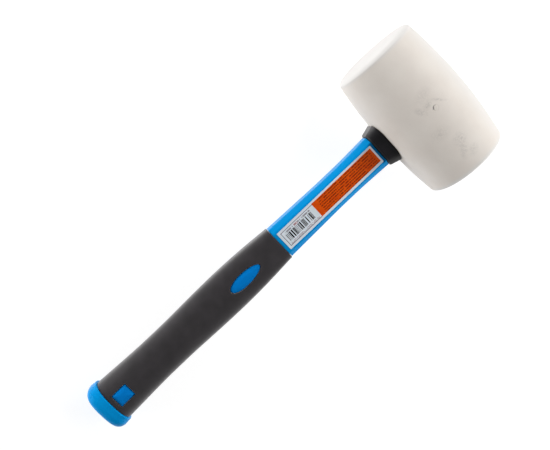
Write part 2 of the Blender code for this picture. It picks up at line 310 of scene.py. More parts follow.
def barrel_rows(grow=0.0, rows=HEAD_ROWS, edge_rows=EDGE_ROWS, face_rings=FACE_RINGS, extra=()):
    """The turned outline as (radius, y), from one end's innermost ring to the other's."""
    half = HEAD_HALF + grow
    shoulder = half - EDGE_LENGTH
    flat = barrel_radius(shoulder, grow) - EDGE_DEPTH
    outline = [(flat * k / face_rings, half) for k in range(1, face_rings)]
    for row in range(edge_rows + 1):
        angle = math.pi / 2 * (1 - row / edge_rows)
        outline.append((flat + EDGE_DEPTH * math.cos(angle), shoulder + EDGE_LENGTH * math.sin(angle)))
    places = [shoulder * (1 - 2 * row / rows) for row in range(1, rows)] + list(extra)
    outline += [(barrel_radius(y, grow), y) for y in sorted(places, reverse=True)]
    outline += [(r, -y) for r, y in reversed(outline[: face_rings + edge_rows])]
    return outline


def barrel(name, angles, outline, shape=lambda p: p):
    """A turned skin about Y with a fan at each end; shape moves each point."""
    rings = []
    for radius, y in outline:
        ring = [Vector((radius * math.sin(a), y, radius * math.cos(a))) for a in angles]
        rings.append([shape(p) for p in ring])
    builder = bmesh.new()
    made = [[builder.verts.new(p) for p in ring] for ring in rings]
    count = len(angles)
    for near, far in zip(made, made[1:]):
        for index in range(count):
            following = (index + 1) % count
            builder.faces.new((near[index], near[following], far[following], far[index]))
    for ring, y in ((made[0], outline[0][1]), (made[-1], outline[-1][1])):
        centre = builder.verts.new(shape(Vector((0, y, 0))))
        for index in range(count):
            builder.faces.new((centre, ring[index], ring[(index + 1) % count]))
    return closed_mesh(name, builder)


def even_angles(count):
    return [2 * math.pi * k / count for k in range(count)]


def eye_surface(y, z, depth):
    """A point over the eye, at a depth from the barrel's skin on the side away from the handle."""
    return (math.sqrt(barrel_radius(y) ** 2 - z**2) + depth, y, z)


def eye_ring(grow, depth):
    return [eye_surface(y, z, depth) for y, z in eye_section(grow)]


# A moulding flaw on the head's upper side: a small oval groove, deep on one side only
FLAW_X, FLAW_Y = 0.0004, 0.0002
FLAW_HALF_WIDTH = 0.0016
FLAW_HALF_LENGTH = 0.0019
FLAW_TURN = math.radians(43)
FLAW_DEPTH = 0.00050
FLAW_SHARE = 0.16  # width of the groove, as a share of the oval
FLAW_SHALLOW = 0.22  # depth of the groove's shallow side, as a share of the deep side
FLAW_CROWN = 0.00006  # how far the middle of the oval stands up
FLAW_CROWN_SHARE = 0.7
FLAW_LIMIT = 2.5  # in ovals, past which the skin is untouched
FLAW_MESH = 0.00014  # spacing of the skin's extra rows and columns round the flaw
FLAW_REACH = 0.0030  # and how far they go on to each side
# Unevenness of the moulded rubber: waves per metre and depth
SLOW_WAVES, SLOW_DEPTH = 45, 0.00005
QUICK_WAVES, QUICK_DEPTH = 150, 0.00002
UPPER_SIDE_Z = 0.02  # above which the flaw is cut
END_PULL = 3  # past the shoulders, how strongly the unevenness acts along the axis instead


def flaw_depth(x, y):
    c, s = math.cos(FLAW_TURN), math.sin(FLAW_TURN)
    x, y = x - FLAW_X, y - FLAW_Y
    u, v = (x * c - y * s) / FLAW_HALF_WIDTH, (x * s + y * c) / FLAW_HALF_LENGTH
    r = math.hypot(u, v)
    if r > FLAW_LIMIT:
        return 0.0
    side = max(-u / max(r, 0.01), 0.0)
    depth = FLAW_DEPTH * (FLAW_SHALLOW + (1 - FLAW_SHALLOW) * side)
    groove = depth * math.exp(-(((r - 1) / FLAW_SHARE) ** 2))
    return groove - FLAW_CROWN * math.exp(-((r / FLAW_CROWN_SHARE) ** 4))


def rubber_skin(point):
    """Takes a hair off the turned shape here and there, and cuts the flaw."""
    slow = noise.noise(point * SLOW_WAVES)
    quick = noise.noise(point * QUICK_WAVES + Vector((7, 3, 5)))
    off = SLOW_DEPTH * (1 + slow) + QUICK_DEPTH * (1 + quick)
    if point.z > UPPER_SIDE_Z:
        off += flaw_depth(point.x, point.y)
    inwards = Vector((-point.x, 0, -point.z))
    if abs(point.y) > HEAD_HALF - EDGE_LENGTH:
        past = point.y - (HEAD_HALF - EDGE_LENGTH) * math.copysign(1, point.y)
        inwards += Vector((0, -past, 0)) * END_PULL
    return point + inwards.normalized() * off if inwards.length > 1e-6 else point


def make_head(look):
    steps = range(-int(FLAW_REACH / FLAW_MESH), int(FLAW_REACH / FLAW_MESH) + 1)
    near = [math.asin((FLAW_X + k * FLAW_MESH) / HEAD_BELLY) % (2 * math.pi) for k in steps]
    rows = barrel_rows(extra=[FLAW_Y + k * FLAW_MESH for k in steps])
    skin = barrel("mallet_head", sorted(set(even_angles(HEAD_COLUMNS) + near)), rows, rubber_skin)
    head = thing("mallet_head", skin)
    far = HEAD_BELLY + CLEAR
    boolean(head, "DIFFERENCE", loft("eye", [(far, eye_section()), (-far, eye_section())]))
    flare = [across(EYE_LIP_START_X, eye_section(-GAP))] + [eye_ring(g, d) for g, d in EYE_LIP]
    boolean(head, "DIFFERENCE", rings_mesh("eye_rim", flare))
    return finish_piece(head, look, ["head"])


PLUG_EDGE = 0.0006
PLUG_SINK = 0.0002  # how deep the plug's face lies in the head's skin, beyond the gap
PLUG_RINGS = (0.85, 0.65, 0.45, 0.25, 0.08)  # rings over its face, as shares of its outline


def make_plug(look):
    low, _ = extent("eye_plug")
    shoulder = -GAP - PLUG_SINK - PLUG_EDGE
    rings = [across(low[0], eye_section(-GAP)), eye_ring(-GAP, shoulder)]
    for inwards, outwards in quarter_round(6, first=1):
        rings.append(eye_ring(-GAP - PLUG_EDGE * inwards, shoulder + PLUG_EDGE * outwards))
    for share in PLUG_RINGS:
        ring = [(y * share, z * share) for y, z in eye_section(-GAP - PLUG_EDGE)]
        rings.append([eye_surface(y, z, -GAP - PLUG_SINK) for y, z in ring])
    plug = thing("mallet_eye_plug", rings_mesh("mallet_eye_plug", rings))
    return finish_piece(plug, look, ["eye_plug"])


# ---------------------------------------------------------------- collar

COLLAR_CORNER = 0.0008
COLLAR_SHOULDER = 0.0065  # reach of the rounding between its flats and chamfers
COLLAR_TAIL_ROUND = 0.0007
COLLAR_ROWS = 12
COLLAR_MOUTH_X = -0.0283  # inside the round of the head, which cuts the mouth
COLLAR_PROBE_X = -0.0360  # where the slope of its sides is measured
LINING_ROOT = 0.003  # how far ahead of its rear edge its lining of the eye starts, in the solid
COLLAR_FLAT_SHARE = 0.697
COLLAR_SIDE_SHARE = 0.54
SEAT_COLUMNS = 180
SPIGOT_HALF_WIDTH = 0.0092  # the jacket's front end, in the collar's pocket
SPIGOT_HALF_HEIGHT = 0.0068
GLUE_THICKNESS = 0.0008


def collar_section(half_width, half_height):
    flat, side = half_width * COLLAR_FLAT_SHARE, half_height * COLLAR_SIDE_SHARE
    return eight_sided(half_width, half_height, flat, side, COLLAR_CORNER, COLLAR_SHOULDER)


def make_collar(look):
    low, high = extent("head_collar")
    tail_x = low[0]
    tail = half_sizes("head_collar", tail_x + HAIR)
    near = half_sizes("head_collar", COLLAR_PROBE_X)
    slope = [(n - t) / (COLLAR_PROBE_X - tail_x) for n, t in zip(near, tail)]

    def sizes(x):
        return [t + s * (x - tail_x) for t, s in zip(tail, slope)]

    stations = []
    for k in range(COLLAR_ROWS):
        x = COLLAR_MOUTH_X + (tail_x + COLLAR_TAIL_ROUND - COLLAR_MOUTH_X) * k / COLLAR_ROWS
        stations.append((x, collar_section(*sizes(x))))
    for inwards, along in quarter_round(6):
        x = tail_x + COLLAR_TAIL_ROUND * (1 - along)
        inset = COLLAR_TAIL_ROUND * inwards
        half_width, half_height = sizes(x)
        stations.append((x, collar_section(half_width - inset, half_height - inset)))
    collar = thing("mallet_collar", loft("mallet_collar", stations))
    seat_rows = barrel_rows(GAP, rows=60, edge_rows=4, face_rings=2)
    round_of_head = barrel("collar_seat", even_angles(SEAT_COLUMNS), seat_rows)
    boolean(collar, "DIFFERENCE", round_of_head)
    lining = eye_section(-GAP)
    boolean(collar, "UNION", loft("sleeve", [(high[0], lining), (tail_x + LINING_ROOT, lining)]))
    bore = core_section(GLUE_THICKNESS + 2 * GAP)
    boolean(collar, "DIFFERENCE", loft("bore", [(high[0] + CLEAR, bore), (tail_x - CLEAR, bore)]))
    seat = handle_section(SPIGOT_HALF_WIDTH + GAP, SPIGOT_HALF_HEIGHT + GAP)
    spigot_tip = extent("handle_jacket")[1][0]
    boolean(collar, "DIFFERENCE", loft("pocket", [(spigot_tip + GAP, seat), (tail_x - CLEAR, seat)]))
    return finish_piece(collar, look, ["head_collar"])


# ---------------------------------------------------------------- grip, jacket and cap

GRIP_LOW, GRIP_HIGH = extent("grip_sleeve")
GRIP_FRONT, GRIP_REAR = GRIP_HIGH[0], GRIP_LOW[0]
GRIP_FRONT_SKIPPED, GRIP_REAR_SKIPPED = 0.0012, 0.0001  # left out of the measuring, at its ends
GRIP = Outline(
    "grip_sleeve",
    front=GRIP_FRONT - GRIP_FRONT_SKIPPED,
    rear=GRIP_REAR + GRIP_REAR_SKIPPED,
    count=76,
    passes=12,
)
GRIP_LIP = 0.0006
GRIP_END_ROUND = 0.0003
GRIP_ROWS = 150
GRIP_LINING_ROWS = 40
FRONT_SQUARENESS = 3.5
REAR_SQUARENESS = 2.4
SQUARENESS_RUN = 0.090  # how far back from its front the section goes on changing


def grip_squareness(x):
    """Square-shouldered next to the jacket, and close to an ellipse at the butt."""
    t = min(max((GRIP_FRONT - x) / SQUARENESS_RUN, 0.0), 1.0)
    return FRONT_SQUARENESS + (REAR_SQUARENESS - FRONT_SQUARENESS) * (1 - (1 - t) ** 2)


def grip_surface(x, y):
    """Height of the grip's skin over a point of the handle's middle plane."""
    half_width, half_height = GRIP.at(x)
    squareness = grip_squareness(x)
    share = min(abs(y) / half_width, 0.999)
    return half_height * (1 - share**squareness) ** (1 / squareness)


def grip_ring(x, inset=0.0):
    half_width, half_height = GRIP.at(x)
    return across(x, oval_section(half_width - inset, half_height - inset, grip_squareness(x)))


def under_grip(x, grow=0.0):
    half_width, half_height = GRIP.at(x)
    return across(x, handle_section(half_width - GRIP_WALL + grow, half_height - GRIP_WALL + grow))


OVAL_CENTRE_X = -0.1594
OVAL_HALF_LENGTH = 0.0127
OVAL_HALF_WIDTH = 0.0043
OVAL_BLUNTNESS = 0.10  # share of the half width that moves from its front end to its rear end
BADGE_FRONT_X = -0.2625
BADGE_REAR_X = -0.2743
BADGE_HALF_WIDTH = 0.0048
BADGE_CORNER = 0.0008
PAD_RISE = 0.00025  # how far a pad's middle stands above the grip
PAD_EDGE = 0.0005
PAD_DOME = 0.0009  # how much lower a pad's edge lies than its middle
PAD_POINTS = 96
PAD_ROOT_Z = 0.0045  # just past the wall of the jacket's bore
PAD_RINGS = (0.95, 0.9, 0.85, 0.75, 0.6, 0.45, 0.3, 0.15, 0.04)  # rings over its top, as shares
WINDOW_ROOT_Z = 0.004  # inside the grip's bore
WINDOW_LIP = (  # growth, depth
    (0.0, -0.0007),
    (0.00006, -0.0004),
    (0.00022, -0.00017),
    (0.0006, 0.00004),
    (0.001, 0.002),
)


def oval_outline(grow=0.0):
    outline = []
    for index in range(PAD_POINTS):
        angle = 2 * math.pi * index / PAD_POINTS
        along = (OVAL_HALF_LENGTH + grow) * math.cos(angle)
        fullness = 1 - OVAL_BLUNTNESS * math.cos(angle)
        sideways = (OVAL_HALF_WIDTH * fullness + grow) * math.sin(angle)
        outline.append((OVAL_CENTRE_X + along, sideways))
    return outline


def badge_outline(grow=0.0):
    centre_x = (BADGE_FRONT_X + BADGE_REAR_X) / 2
    half_length = (BADGE_FRONT_X - BADGE_REAR_X) / 2 + grow
    half_width = BADGE_HALF_WIDTH + grow
    corner = max(BADGE_CORNER + grow, 0.0001)
    outline = []
    steps = PAD_POINTS // 4
    for quarter, (sx, sy) in enumerate(((1, 1), (-1, 1), (-1, -1), (1, -1))):
        cx, cy = sx * (half_length - corner), sy * (half_width - corner)
        for step in range(steps):
            angle = math.pi / 2 * (quarter + step / (steps - 1))
            x = centre_x + cx + corner * math.cos(angle)
            outline.append((x, cy + corner * math.sin(angle)))
    return outline


def pad_ring(outline, side, depth):
    return [(x, y, side * (grip_surface(x, y) + depth)) for x, y in outline]


def shrunk(outline, share):
    cx = sum(x for x, _ in outline) / len(outline)
    return [(cx + (x - cx) * share, y * share) for x, y in outline]


def pad_mesh(name, outline_of, side):
    """A pad with a rounded edge and a slightly domed top over the grip's skin."""
    shoulder = PAD_RISE - PAD_DOME - PAD_EDGE
    rings = [[(x, y, side * PAD_ROOT_Z) for x, y in outline_of()]]
    rings.append(pad_ring(outline_of(), side, shoulder))
    for inwards, upwards in quarter_round(5, first=1):
        rings.append(pad_ring(outline_of(-PAD_EDGE * inwards), side, shoulder + PAD_EDGE * upwards))
    for share in PAD_RINGS:
        depth = PAD_RISE - PAD_DOME * share**3
        rings.append(pad_ring(shrunk(outline_of(-PAD_EDGE), share), side, depth))
    return rings_mesh(name, rings)


def window_mesh(name, outline_of, side):
    """A cutter whose mouth flares, so that it leaves the window a rolled lip."""
    rings = [[(x, y, side * WINDOW_ROOT_Z) for x, y in outline_of(GAP)]]
    rings += [pad_ring(outline_of(GAP + g), side, d) for g, d in WINDOW_LIP]
    return rings_mesh(name, rings)


PADS = (("oval", oval_outline), ("badge", badge_outline))


def make_grip(look):
    rings = []
    for backwards, outwards in quarter_round(6):
        rings.append(grip_ring(GRIP_FRONT - GRIP_LIP * backwards, GRIP_LIP * (1 - outwards)))
    first, last = GRIP_FRONT - GRIP_LIP, GRIP_REAR + GRIP_END_ROUND
    for k in range(1, GRIP_ROWS):
        rings.append(grip_ring(first + (last - first) * k / GRIP_ROWS))
    for inwards, backwards in quarter_round(3):
        rings.append(grip_ring(GRIP_REAR + GRIP_END_ROUND * (1 - backwards), GRIP_END_ROUND * inwards))
    for k in range(GRIP_LINING_ROWS + 1):
        x = GRIP_REAR + (GRIP_FRONT - GRIP_REAR) * k / GRIP_LINING_ROWS
        rings.append(under_grip(x, GAP))
    grip = thing("mallet_grip", rings_mesh("mallet_grip", rings, joined=True))
    for name, outline_of in PADS:
        for side in (1, -1):
            boolean(grip, "DIFFERENCE", window_mesh(name, outline_of, side))
    return finish_piece(grip, look, ["grip_sleeve"])


JACKET_EDGE = 0.0003
JACKET_ROWS = 79
JACKET_COVERED_ROWS = 29  # under the grip
JACKET_FRONT_SKIPPED, JACKET_REAR_SKIPPED = 0.0001, 0.0002  # left out of the measuring


def make_jacket(look):
    low, high = extent("handle_jacket")
    front_x = extent("head_collar")[0][0] - GAP
    rear_x = GRIP_FRONT + GAP
    outline = Outline(
        "handle_jacket",
        front=front_x - JACKET_FRONT_SKIPPED,
        rear=rear_x + JACKET_REAR_SKIPPED,
        count=45,
        passes=12,
    )
    spigot = handle_section(SPIGOT_HALF_WIDTH, SPIGOT_HALF_HEIGHT)
    rings = [across(high[0], spigot), across(front_x, spigot)]
    half_width, half_height = outline.at(front_x)
    for backwards, outwards in quarter_round(3):
        inset = JACKET_EDGE * (1 - outwards)
        section = handle_section(half_width - inset, half_height - inset)
        rings.append(across(front_x - JACKET_EDGE * backwards, section))
    for k in range(1, JACKET_ROWS + 1):
        x = front_x - JACKET_EDGE + (rear_x - front_x + JACKET_EDGE) * k / JACKET_ROWS
        rings.append(across(x, handle_section(*outline.at(x))))
    rings.append(under_grip(rear_x - HAIR))
    for k in range(1, JACKET_COVERED_ROWS + 1):
        rings.append(under_grip(rear_x + (GRIP_REAR - rear_x) * k / JACKET_COVERED_ROWS))
    rings.append([(low[0], y, z) for _, y, z in under_grip(GRIP_REAR)])
    rings.append(across(low[0], core_section(GAP)))
    rings.append(across(high[0], core_section(GAP)))
    jacket = thing("mallet_jacket", rings_mesh("mallet_jacket", rings, joined=True))
    for name, outline_of in PADS:
        for side in (1, -1):
            boolean(jacket, "UNION", pad_mesh(name, outline_of, side))
    return finish_piece(jacket, look, ["handle_jacket"])


CAP_SQUARENESS = 2.7
CAP_ROWS = 60
CAP_EDGE = 0.0005
CAP_STEP = 0.0010  # just past the CAD's chamfer at the cap's front, which a rounded edge replaces
CAP_FACE_RINGS = (0.2, 0.5, 0.8, 0.97)  # rings over its end face, as shares of the outline there


def make_cap(look):
    low, high = extent("butt_cap")
    front_x, butt_x = high[0], low[0]
    outline = Outline("butt_cap", front_x - CAP_STEP, butt_x + HAIR, count=CAP_ROWS, passes=6)
    butt = np.array(outline.at(butt_x))
    rings = [across(butt_x, oval_section(*(butt * share), CAP_SQUARENESS)) for share in CAP_FACE_RINGS]
    for k in range(CAP_ROWS):
        x = butt_x + HAIR + (front_x - CAP_STEP - butt_x) * k / CAP_ROWS
        rings.append(across(x, oval_section(*outline.at(x), CAP_SQUARENESS)))
    half_width, half_height = outline.at(front_x)
    for inwards, forwards in quarter_round(5):
        inset = CAP_EDGE * inwards
        section = oval_section(half_width - inset, half_height - inset, CAP_SQUARENESS)
        rings.append(across(front_x - CAP_EDGE * (1 - forwards), section))
    seat = [(y, z) for _, y, z in under_grip(GRIP_REAR, GAP)]
    rings.append(across(front_x, seat))
    rings.append(across(extent("handle_jacket")[0][0] - GAP, seat))
    cap = thing("mallet_butt_cap", rings_mesh("mallet_butt_cap", rings))
    return finish_piece(cap, look, ["butt_cap"])


# ---------------------------------------------------------------- label

LABEL_CORNER = 0.0004
LABEL_TRIM = 0.00027  # by which each side of the print lies inside the CAD's strip
LABEL_COLUMNS = 160
LABEL_ROWS = 24
LABEL_WAVES, LABEL_WAVE_HEIGHT = 160, 0.00003


def label_points():
    """The strip's upper and lower points, column by column from its front end."""
    low, high = extent("handle_label")
    half_width = (high[1] - low[1]) / 2 - LABEL_TRIM
    top, bottom = [], []
    for k in range(LABEL_COLUMNS + 1):
        x = high[0] + (low[0] - high[0]) * (0.5 - 0.5 * math.cos(math.pi * k / LABEL_COLUMNS))
        from_end = min(high[0] - x, x - low[0], LABEL_CORNER)
        half = half_width - LABEL_CORNER + math.sqrt(LABEL_CORNER**2 - (LABEL_CORNER - from_end) ** 2)
        for row in range(LABEL_ROWS + 1):
            y = half * (1 - 2 * row / LABEL_ROWS)
            lift = LABEL_WAVE_HEIGHT * noise.noise(Vector((x, y, 0)) * LABEL_WAVES)
            top.append((x, y, high[2] - LABEL_WAVE_HEIGHT + lift))
            bottom.append((x, y, low[2]))
    return top, bottom


def label_faces(count):
    """Faces over the upper points, under the lower ones and round the rim."""
    columns, rows = LABEL_COLUMNS, LABEL_ROWS
    faces = []
    for k in range(columns):
        for row in range(rows):
            a = k * (rows + 1) + row
            b = a + rows + 1
            faces.append((a, b, b + 1, a + 1))
            faces.append((count + a, count + a + 1, count + b + 1, count + b))
    rim = [k * (rows + 1) for k in range(columns + 1)]
    rim += [columns * (rows + 1) + row for row in range(1, rows + 1)]
    rim += [k * (rows + 1) + rows for k in range(columns - 1, -1, -1)]
    rim += list(range(rows - 1, 0, -1))
    faces += [(a, a + count, b + count, b) for a, b in zip(rim, rim[1:] + rim[:1])]
    return faces


def make_label(look):
    """A thin printed strip with round corners, lying a hair unevenly on the flat."""
    top, bottom = label_points()
    faces = label_faces(len(top))
    mesh = bpy.data.meshes.new("mallet_label")
    mesh.from_pydata(top + bottom, [], faces)
    builder = bmesh.new()
    builder.from_mesh(mesh)
    bmesh.ops.recalc_face_normals(builder, faces=builder.faces)
    builder.to_mesh(mesh)
    builder.free()
    return finish_piece(thing("mallet_label", mesh), look, ["handle_label"])


# ---------------------------------------------------------------- materials


class Look:
    """A Principled material, with short calls for the nodes that feed it."""

    def __init__(self, name, **values):
        self.material = bpy.data.materials.new(name)
        self.material.use_nodes = True
        self.nodes = self.material.node_tree.nodes
        self.links = self.material.node_tree.links
        self.shader = self.nodes["Principled BSDF"]
        for socket, value in values.items():
            self.put(value, self.shader.inputs[socket.replace("_", " ")])
        into_tool = self.nodes.new("ShaderNodeMapping")
        into_tool.vector_type = "TEXTURE"
        into_tool.inputs["Location"].default_value = TOOL.translation
        into_tool.inputs["Rotation"].default_value = TOOL.to_euler()
        self.place = into_tool.outputs[0]
        self.links.new(self.nodes.new("ShaderNodeTexCoord").outputs["Object"], into_tool.inputs[0])

    def put(self, value, socket):
        if isinstance(value, bpy.types.NodeSocket):
            self.links.new(value, socket)
        elif isinstance(value, tuple) and socket.type == "RGBA":
            socket.default_value = (*value, 1)
        else:
            socket.default_value = value

    def math(self, operation, *values):
        node = self.nodes.new("ShaderNodeMath")
        node.operation = operation
        for socket, value in zip(node.inputs, values):
            self.put(value, socket)
        return node.outputs[0]

    def all(self, *masks):
        result = masks[0]
        for mask in masks[1:]:
            result = self.math("MULTIPLY", result, mask)
        return result

    def any(self, *masks):
        result = masks[0]
        for mask in masks[1:]:
            result = self.math("MAXIMUM", result, mask)
        return result

    def inside(self, value, low, high):
        """1 between the two limits and 0 elsewhere."""
        return self.math("COMPARE", value, (low + high) / 2, (high - low) / 2)

    def millimetres(self):
        """X and Y of the tool's frame in millimetres."""
        split = self.nodes.new("ShaderNodeSeparateXYZ")
        self.put(self.place, split.inputs[0])
        return [self.math("MULTIPLY", split.outputs[k], 1000.0) for k in (0, 1)]

    def scatter(self, a, b):
        """A random value from 0 to 1 for each pair of whole numbers."""
        join = self.nodes.new("ShaderNodeCombineXYZ")
        self.put(self.math("FLOOR", a), join.inputs[0])
        self.put(self.math("FLOOR", b), join.inputs[1])
        node = self.nodes.new("ShaderNodeTexWhiteNoise")
        node.noise_dimensions = "2D"
        self.put(join.outputs[0], node.inputs["Vector"])
        return node.outputs["Value"]

    def stretched(self, scale):
        node = self.nodes.new("ShaderNodeMapping")
        self.put(self.place, node.inputs["Vector"])
        node.inputs["Scale"].default_value = scale
        return node.outputs[0]

    def fade(self, value, start, end, low=0.0, high=1.0):
        """Goes smoothly from low to high while the value goes from start to end."""
        node = self.nodes.new("ShaderNodeMapRange")
        node.interpolation_type = "SMOOTHSTEP"
        self.put(value, node.inputs["Value"])
        for name, limit in (("From Min", start), ("From Max", end), ("To Min", low), ("To Max", high)):
            node.inputs[name].default_value = limit
        return node.outputs[0]

    def spot(self, centre, reach, turn):
        """1 at the centre, falling to 0 at the reach along each of its own axes."""
        place = self.nodes.new("ShaderNodeMapping")
        place.vector_type = "TEXTURE"
        self.put(self.place, place.inputs["Vector"])
        place.inputs["Location"].default_value = centre
        place.inputs["Rotation"].default_value = (0, 0, math.radians(turn))
        place.inputs["Scale"].default_value = reach
        gradient = self.nodes.new("ShaderNodeTexGradient")
        gradient.gradient_type = "SPHERICAL"
        self.put(place.outputs[0], gradient.inputs["Vector"])
        return gradient.outputs["Fac"]

    def noise(self, size, detail=2.0, roughness=0.5, stretch=(1, 1, 1), distortion=0.0):
        """Noise with features of about the given size, in metres."""
        node = self.nodes.new("ShaderNodeTexNoise")
        self.put(self.stretched(stretch), node.inputs["Vector"])
        node.inputs["Scale"].default_value = 1 / size
        node.inputs["Detail"].default_value = detail
        node.inputs["Roughness"].default_value = roughness
        node.inputs["Distortion"].default_value = distortion
        return node.outputs["Fac"]

    def ramp(self, value, *stops, steps=False):
        node = self.nodes.new("ShaderNodeValToRGB")
        node.color_ramp.interpolation = "CONSTANT" if steps else "LINEAR"
        elements = node.color_ramp.elements
        while len(elements) < len(stops):
            elements.new(0.5)
        for element, (position, colour) in zip(elements, stops):
            element.position = position
            element.color = (*colour, 1) if isinstance(colour, tuple) else (colour,) * 3 + (1,)
        self.put(value, node.inputs[0])
        return node.outputs[0]

    def mix(self, factor, a, b):
        node = self.nodes.new("ShaderNodeMix")
        node.data_type = "RGBA"
        self.put(factor, node.inputs[0])
        self.put(a, node.inputs[6])
        self.put(b, node.inputs[7])
        return node.outputs[2]

    def colour(self, value):
        self.put(value, self.shader.inputs["Base Color"])

    def roughness(self, low, high, value):
        node = self.nodes.new("ShaderNodeMapRange")
        self.put(value, node.inputs["Value"])
        node.inputs["To Min"].default_value = low
        node.inputs["To Max"].default_value = high
        self.put(node.outputs[0], self.shader.inputs["Roughness"])

    def bump(self, *layers):
        """Layers of (height, strength, distance in metres), one bump on another."""
        normal = None
        for height, strength, distance in layers:
            node = self.nodes.new("ShaderNodeBump")
            node.inputs["Strength"].default_value = strength
            node.inputs["Distance"].default_value = distance
            self.put(height, node.inputs["Height"])
            if normal:
                self.put(normal, node.inputs["Normal"])
            normal = node.outputs[0]
        self.put(normal, self.shader.inputs["Normal"])


FLAW_SHADE = (FLAW_X - 0.00118, FLAW_Y + 0.0011)  # painted shade in the deep side of the groove
FLAW_SHADE_REACH = (0.0006, 0.0018, 0.003)
SMUDGE_HEIGHT = 0.012  # how far a smudge reaches up and down
# Faint grey smudges on the head's upper side: x, y, reach along and across, degrees, strength
SMUDGES = (
    (0.0052, 0.0028, 0.0075, 0.0013, -43, 0.9),
    (-0.0025, 0.0052, 0.0050, 0.0030, 20, 0.8),
    (-0.0082, 0.0045, 0.0055, 0.0026, -60, 0.8),
    (-0.0010, 0.0115, 0.0080, 0.0045, 10, 0.5),
    (-0.0004, -0.0250, 0.0065, 0.0055, 0, 0.7),
    (-0.0028, -0.0315, 0.0080, 0.0040, 60, 0.8),
    (0.0020, -0.0365, 0.0055, 0.0040, 30, 0.7),
    (-0.0076, -0.0144, 0.0080, 0.0055, 0, 0.5),
)


def over_head(x, y):
    return (x, y, math.sqrt(HEAD_BELLY**2 - x**2))


def smudges_and_groove_shade(look):
    """How smudged the rubber is: soft spots broken up by noise, on the upper side only, with painted shade
    in the flaw's groove.
    """
    spots = []
    for x, y, length, width, turn, strength in SMUDGES:
        spot = look.spot(over_head(x, y), (length, width, SMUDGE_HEIGHT), turn)
        spots.append(look.math("MULTIPLY", spot, strength))
    broken = look.ramp(look.noise(0.0020, 4, 0.65, distortion=1.5), (0.38, 0.0), (0.66, 1.0))
    # Painted shade in the deep side of the flaw's groove
    groove = look.spot(over_head(*FLAW_SHADE), FLAW_SHADE_REACH, -math.degrees(FLAW_TURN))
    smeared = look.math("MULTIPLY", look.all(look.any(*spots), broken), 0.75)
    return look.any(smeared, look.fade(groove, 0.0, 0.35))


# Painted light: where the lamps fall strongest, on the far side and the end faces, the rubber is painted a
# darker, more neutral tone; in millimetres of the tool's frame
FAR_SIDE_X = (12.0, 33.0)
END_FACE_Y = (44.0, 47.5)


def rubber_look():
    look = Look("white_rubber", Roughness=0.62, Specular_IOR_Level=0.35)
    cloud = look.noise(0.02, 3, 0.55)
    base = look.ramp(cloud, (0.35, (0.765, 0.705, 0.645)), (0.65, (0.80, 0.745, 0.685)))
    x, y = look.millimetres()
    # Painted light: a more neutral tone on the lit far side and end faces, darker on the far side
    base = look.mix(look.fade(x, *FAR_SIDE_X), base, (0.69, 0.672, 0.645))
    base = look.mix(look.fade(look.math("ABSOLUTE", y), *END_FACE_Y), base, (0.765, 0.745, 0.725))
    specks = look.ramp(look.noise(0.0012, 2, 0.6), (0.70, 0.0), (0.80, 0.35))
    base = look.mix(specks, base, (0.50, 0.46, 0.42))
    # Smudges, and the painted shade in the flaw's groove, darken the rubber
    base = look.mix(look.math("MULTIPLY", smudges_and_groove_shade(look), 0.8), base, (0.34, 0.31, 0.29))
    look.colour(base)
    look.roughness(0.55, 0.7, look.noise(0.004, 3))
    look.bump((look.noise(0.0009, 2), 0.25, 0.0001), (look.noise(0.006, 2), 0.25, 0.0003))
    return look.material


# Places on the black and blue plastic, in millimetres of the tool's frame
COLLAR_FROM_X = (-27.0, -28.0)  # the plug lies ahead of this and the collar behind it
REFLECTION_SIDE_Y = (11.3, 14.5)  # painted reflection: a light grey band on one side of the collar
SHADED_SIDE_Y = (-9.0, -11.0)  # painted shade on its other side
COLLAR_SHADOW_X = (-44.5, -41.5)  # painted shadow of the collar on the jacket's flat, next to it
COLLAR_SHADOW_Y = (8.6, 7.4)
PADS_SHADE_FRONT_X = (-130.0, -138.0)  # painted shade: between these, where the pads lie, the blue is darker
PADS_SHADE_REAR_X = (-278.0, -275.0)


def black_look():
    look = Look("black_plastic", Specular_IOR_Level=0.3)
    base = look.ramp(look.noise(0.006, 3), (0.3, (0.014, 0.0135, 0.015)), (0.7, (0.022, 0.021, 0.024)))
    x, y = look.millimetres()
    collar = look.fade(x, *COLLAR_FROM_X)
    # Painted reflection: a patchy light grey band along one side of the collar
    patchy = look.ramp(look.noise(0.002, 3), (0.3, 0.7), (0.6, 1.0))
    painted_reflection = look.all(collar, look.fade(y, *REFLECTION_SIDE_Y), patchy)
    base = look.mix(painted_reflection, base, (0.125, 0.120, 0.124))
    # Painted shade: near black on the collar's other side
    base = look.mix(look.all(collar, look.fade(y, *SHADED_SIDE_Y)), base, (0.003, 0.003, 0.003))
    look.colour(base)
    look.roughness(0.30, 0.42, look.noise(0.003, 3))
    look.bump((look.noise(0.0005, 2), 0.15, 0.00005))
    return look.material


